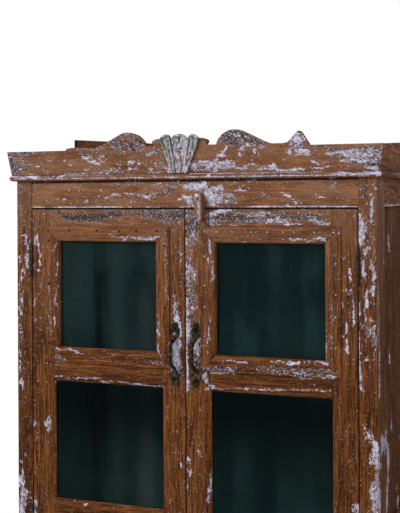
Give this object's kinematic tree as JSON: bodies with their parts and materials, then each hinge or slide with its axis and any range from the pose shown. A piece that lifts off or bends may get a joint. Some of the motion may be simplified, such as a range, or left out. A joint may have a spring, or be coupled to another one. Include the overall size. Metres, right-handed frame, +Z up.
{
  "type": "display cabinet",
  "caption": "Tall old wooden display cabinet with glazed framed doors, iron bow pulls, a turn button, inner shelves and a scrolled cornice with a painted shell.",
  "frame": {"origin": "on the floor, under the middle of the object's bounding box", "axes": "+Z up, front towards -Y, +X to the right seen from the front"},
  "size_m": [0.9202, 0.43, 1.8029],
  "materials": {
    "worn_wood": "old varnish worn to bare wood, with chips of white paint",
    "dark_wood": "darkened matt wood",
    "interior_paint": "dull dark teal paint",
    "painted_shell": "worn pale green and white paint",
    "glass": "old thin sheet glass",
    "forged_iron": "dark brown-green patina",
    "old_steel": "dull and rust-stained"
  },
  "bodies": {
    "cabinet": {"post_front_left": "worn_wood", "post_front_right": "worn_wood", "post_back_left": "worn_wood", "post_back_right": "worn_wood", "frieze_rail": "worn_wood", "front_bottom_rail": "worn_wood", "side_rails_left": "worn_wood", "side_rails_right": "worn_wood", "side_panels_left": "dark_wood", "side_panels_right": "dark_wood", "back_rails": "dark_wood", "back_boards": "interior_paint", "bottom_board": "interior_paint", "top_board": "dark_wood", "shelf_lower": "interior_paint", "shelf_middle": "interior_paint", "shelf_upper": "interior_paint", "shelf_cleats": "interior_paint", "door_stops": "interior_paint", "cornice_front": "worn_wood", "cornice_left": "worn_wood", "cornice_right": "worn_wood", "cornice_bead_front": "worn_wood", "cornice_bead_sides": "worn_wood", "shell_ornament": "painted_shell", "crest_batten": "dark_wood", "button_nail": "old_steel", "hinge_leaves_fixed": "old_steel", "hinge_pins": "old_steel"},
    "door_left": {"hinge_stile_left": "worn_wood", "meeting_stile_left": "worn_wood", "door_top_rail_left": "worn_wood", "door_mid_rails_left": "worn_wood", "door_bottom_rail_left": "worn_wood", "nailed_strips_left": "worn_wood", "strip_nails_left": "old_steel", "glazing_beads_left": "worn_wood", "glass_panes_left": "glass", "back_beads_left": "interior_paint", "pull_left": "forged_iron", "pull_screws_left": "old_steel", "hinge_leaves_left": "old_steel", "bolt_plates": "old_steel"},
    "door_right": {"hinge_stile_right": "worn_wood", "meeting_stile_right": "worn_wood", "door_top_rail_right": "worn_wood", "door_mid_rails_right": "worn_wood", "door_bottom_rail_right": "worn_wood", "nailed_strips_right": "worn_wood", "strip_nails_right": "old_steel", "glazing_beads_right": "worn_wood", "glass_panes_right": "glass", "back_beads_right": "interior_paint", "pull_right": "forged_iron", "pull_screws_right": "old_steel", "hinge_leaves_right": "old_steel"},
    "turn_button": {"turn_button": "worn_wood"},
    "bolt_top": {"bolt_rod_top": "old_steel"},
    "bolt_bottom": {"bolt_rod_bottom": "old_steel"}
  },
  "joints": [
    {"name": "door_left_swing", "type": "hinge", "parent": "cabinet", "child": "door_left", "pos_m": [-0.39925, -0.1882, 0.143], "axis": [0, 0, -1], "range_deg": [0, 165]},
    {"name": "door_right_swing", "type": "hinge", "parent": "cabinet", "child": "door_right", "pos_m": [0.39925, -0.1882, 0.143], "axis": [0, 0, 1], "range_deg": [0, 165]},
    {"name": "turn_button_turn", "type": "hinge", "parent": "cabinet", "child": "turn_button", "pos_m": [0.04, -0.185, 1.65], "axis": [0, 1, 0], "range_deg": [-110, 110]},
    {"name": "bolt_top_slide", "type": "slide", "parent": "door_left", "child": "bolt_top", "axis": [0, 0, 1], "range_m": [0, 0.014]},
    {"name": "bolt_bottom_slide", "type": "slide", "parent": "door_left", "child": "bolt_bottom", "axis": [0, 0, -1], "range_m": [0, 0.014]}
  ]
}
